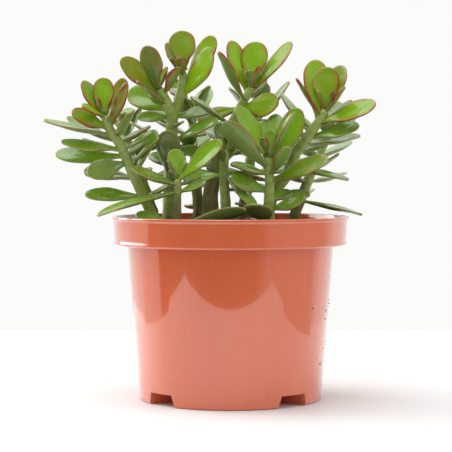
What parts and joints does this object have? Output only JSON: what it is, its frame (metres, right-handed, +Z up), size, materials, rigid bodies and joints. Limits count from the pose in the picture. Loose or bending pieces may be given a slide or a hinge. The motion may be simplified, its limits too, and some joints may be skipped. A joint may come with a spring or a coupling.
{
  "type": "potted jade plant",
  "caption": "A bushy jade plant with fleshy oval leaves in opposite pairs on thick stems, planted in compost in a tapered terracotta-coloured plastic nursery pot",
  "frame": {"origin": "the centre of the pot's underside, on the plane it stands on", "axes": "+Z up along the pot's axis; -Y the front, the side the plant is seen from; +X the right as seen from the front"},
  "size_m": [0.2109, 0.1567, 0.2377],
  "materials": {
    "terracotta_plastic": "glossy moulded polypropylene",
    "compost": null,
    "jade_stem": "smooth fleshy green-brown bark",
    "jade_leaf": null
  },
  "bodies": {
    "root": {"back_centre_b": "jade_leaf", "back_centre_left_b": "jade_leaf", "back_centre_left_tip": "jade_leaf", "back_centre_tip": "jade_leaf", "back_left_b": "jade_leaf", "back_left_tip": "jade_leaf", "back_right_b": "jade_leaf", "back_right_c": "jade_leaf", "back_right_tip": "jade_leaf", "centre_b": "jade_leaf", "centre_c": "jade_leaf", "centre_d": "jade_leaf", "centre_front_b": "jade_leaf", "centre_front_tip": "jade_leaf", "centre_tip": "jade_leaf", "fork_left_b": "jade_leaf", "fork_left_tip": "jade_leaf", "fork_low": "jade_leaf", "fork_mid": "jade_leaf", "fork_right_b": "jade_leaf", "fork_right_c": "jade_leaf", "fork_right_tip": "jade_leaf", "front_small_b": "jade_leaf", "front_small_c": "jade_leaf", "front_small_d": "jade_leaf", "front_small_tip": "jade_leaf", "left_b": "jade_leaf", "left_c": "jade_leaf", "left_d": "jade_leaf", "left_e": "jade_leaf", "left_f": "jade_leaf", "left_g": "jade_leaf", "left_h": "jade_leaf", "left_tip": "jade_leaf", "pot": "terracotta_plastic", "right_b": "jade_leaf", "right_c": "jade_leaf", "right_d": "jade_leaf", "right_e": "jade_leaf", "right_front_b": "jade_leaf", "right_front_c": "jade_leaf", "right_front_d": "jade_leaf", "right_front_e": "jade_leaf", "right_front_f": "jade_leaf", "right_front_tip": "jade_leaf", "right_tip": "jade_leaf", "soil": "compost", "stem_back_centre": "jade_stem", "stem_back_centre_left": "jade_stem", "stem_back_left": "jade_stem", "stem_back_right": "jade_stem", "stem_centre_front": "jade_stem", "stem_centre_trunk": "jade_stem", "stem_fork": "jade_stem", "stem_front_small": "jade_stem", "stem_left": "jade_stem", "stem_right": "jade_stem", "stem_right_front": "jade_stem"}
  },
  "joints": []
}
